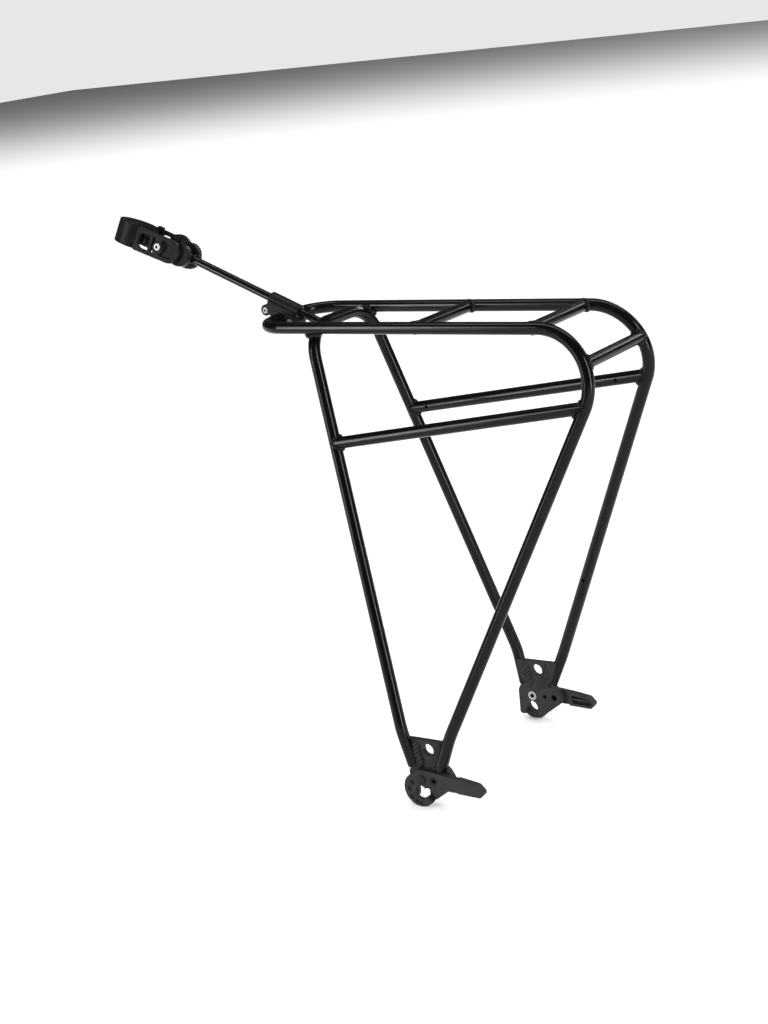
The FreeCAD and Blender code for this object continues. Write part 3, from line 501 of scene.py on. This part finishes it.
def tube_welds():
    rail = PATHS["rail"]
    hoop = PATHS["hoop"]
    crown_weld(rail, hoop)
    for name in ("front", "middle", "rear"):
        cross = PATHS[name]
        axis = Vector((0, 1, 0))
        start = nearest(rail, cross[1]) - axis * TUBE_R
        both_sides("weld_cross_" + name, cross, CROSS_R, rail, TUBE_R, start, axis, TUBE_BEAD_R)
    side = PATHS["side"]
    run = side[1] - side[0]
    inset = run.normalized() * TUBE_R
    both_sides("weld_side_front", side, TUBE_R, hoop, TUBE_R, side[0] + inset, -run, TUBE_BEAD_R)
    both_sides("weld_side_rear", side, TUBE_R, rail, TUBE_R, side[1] - inset, run, TUBE_BEAD_R)


tube_welds()


def plate_beads():
    """Broad beads along both feet of each plate, on its outer and inner face, towards the plate's middle."""
    low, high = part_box("dropout_plate_right")
    for foot_name, path, toward in (("front", PATHS["hoop"], 1), ("rear", PATHS["rail"], -1)):
        for face_name, face_y, out in (("outer", high.y, 1), ("inner", low.y, -1)):
            line = []
            for i in range(PLATE_BEAD_POINTS):
                z = high.z + (path[-1].z - high.z) * i / (PLATE_BEAD_POINTS - 1)
                centre = at_height(path, z)
                x = centre.x + toward * PLATE_BEAD_SHIFT[foot_name]
                line.append(Vector((x, face_y - out * PLATE_BEAD_SINK, centre.z)))
            outward = Vector((-toward * PLATE_BEAD_TILT, out, 0)).normalized()
            vertices, faces = weld_bead(
                line, lambda point, outward=outward: outward,
                PLATE_BEAD_R, PLATE_BEAD_PITCH, PLATE_BEAD_PITCH, False, PLATE_BEAD_FLATNESS,
            )
            for side, flip in (("right", 1), ("left", -1)):
                placed = [Vector((v.x, flip * v.y, v.z)) for v in vertices]
                facing = faces if flip == 1 else [f[::-1] for f in faces]
                name = f"weld_foot_{foot_name}_{face_name}_{side}"
                new_piece(name, placed, facing, "frame", MATERIALS["plate"])


plate_beads()


# --- stage ---------------------------------------------------------------------------------------------
def floor():
    low = CAD_BOX[0]
    half = FLOOR_HALF
    mesh = bpy.data.meshes.new("floor")
    corners = [(-half, -half, low.z), (half, -half, low.z), (half, half, low.z), (-half, half, low.z)]
    mesh.from_pydata(corners, [], [(0, 1, 2, 3)])
    plane = bpy.data.objects.new("floor", mesh)
    bpy.context.scene.collection.objects.link(plane)
    plane.data.materials.append(coat("pale_floor", 0.86, 0.88, (0.7, 0.8), 30, 0.0))


def soft_light(name, place, target, size, power):
    data = bpy.data.lights.new(name, "AREA")
    data.shape = "RECTANGLE"
    data.size, data.size_y = size
    data.energy = power
    lamp = bpy.data.objects.new(name, data)
    bpy.context.scene.collection.objects.link(lamp)
    lamp.location = place
    lamp.rotation_euler = (target - Vector(place)).to_track_quat("-Z", "Y").to_euler()
    return lamp


def lights():
    """Strip lamps aim at the object. The camera sees a pale grey world, which hardly lights the object."""
    middle = (CAD_BOX[0] + CAD_BOX[1]) / 2
    for name, (place, size, power) in STRIP_LAMPS.items():
        soft_light(name, place, middle, size, power)
    for i in range(WASH_COUNT):
        turn = 2 * math.pi * i / WASH_COUNT
        x = WASH_RING_R * math.cos(turn)
        y = WASH_RING_R * math.sin(turn)
        below = Vector((x, y, 0))
        wash = soft_light(f"floor_wash_{i}", (x, y, WASH_HEIGHT), below, WASH_SIZE, WASH_POWER)
        wash.visible_glossy = False
    world = bpy.data.worlds.new("studio")
    world.use_nodes = True
    tree = world.node_tree
    background = tree.nodes["Background"]
    background.inputs["Color"].default_value = (1, 1, 1, 1)
    background.inputs["Strength"].default_value = WORLD_STRENGTH
    bright = tree.nodes.new("ShaderNodeBackground")
    bright.inputs["Strength"].default_value = 1.0
    seen = tree.nodes.new("ShaderNodeLightPath")
    choice = tree.nodes.new("ShaderNodeMixShader")
    tree.links.new(seen.outputs["Is Camera Ray"], choice.inputs[0])
    tree.links.new(background.outputs[0], choice.inputs[1])
    tree.links.new(bright.outputs[0], choice.inputs[2])
    tree.links.new(choice.outputs[0], tree.nodes["World Output"].inputs[0])
    bpy.context.scene.world = world
    bpy.context.scene.view_settings.view_transform = "Standard"


def camera():
    data = bpy.data.cameras.new("camera")
    data.lens = CAMERA_LENS
    data.clip_end = 60
    eye = bpy.data.objects.new("camera", data)
    bpy.context.scene.collection.objects.link(eye)
    a, e = CAMERA_AZIMUTH, CAMERA_ELEVATION
    back = Vector((math.sin(a) * math.cos(e), -math.cos(a) * math.cos(e), math.sin(e)))
    right = (-back).cross(Vector((0, 0, 1))).normalized()
    up = right.cross(-back)
    c, s = math.cos(CAMERA_ROLL), math.sin(CAMERA_ROLL)
    right_rolled = right * c + up * s
    up_rolled = up * c - right * s
    deck = sum((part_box("cross_tube_front")[i] for i in (0, 1)), Vector()) / 2
    place = deck + back * CAMERA_DISTANCE + right_rolled * CAMERA_PAN[0] + up_rolled * CAMERA_PAN[1]
    turn = Matrix((right_rolled, up_rolled, back)).transposed()
    eye.matrix_world = Matrix.Translation(place) @ turn.to_4x4()
    bpy.context.scene.camera = eye


floor()
lights()
camera()
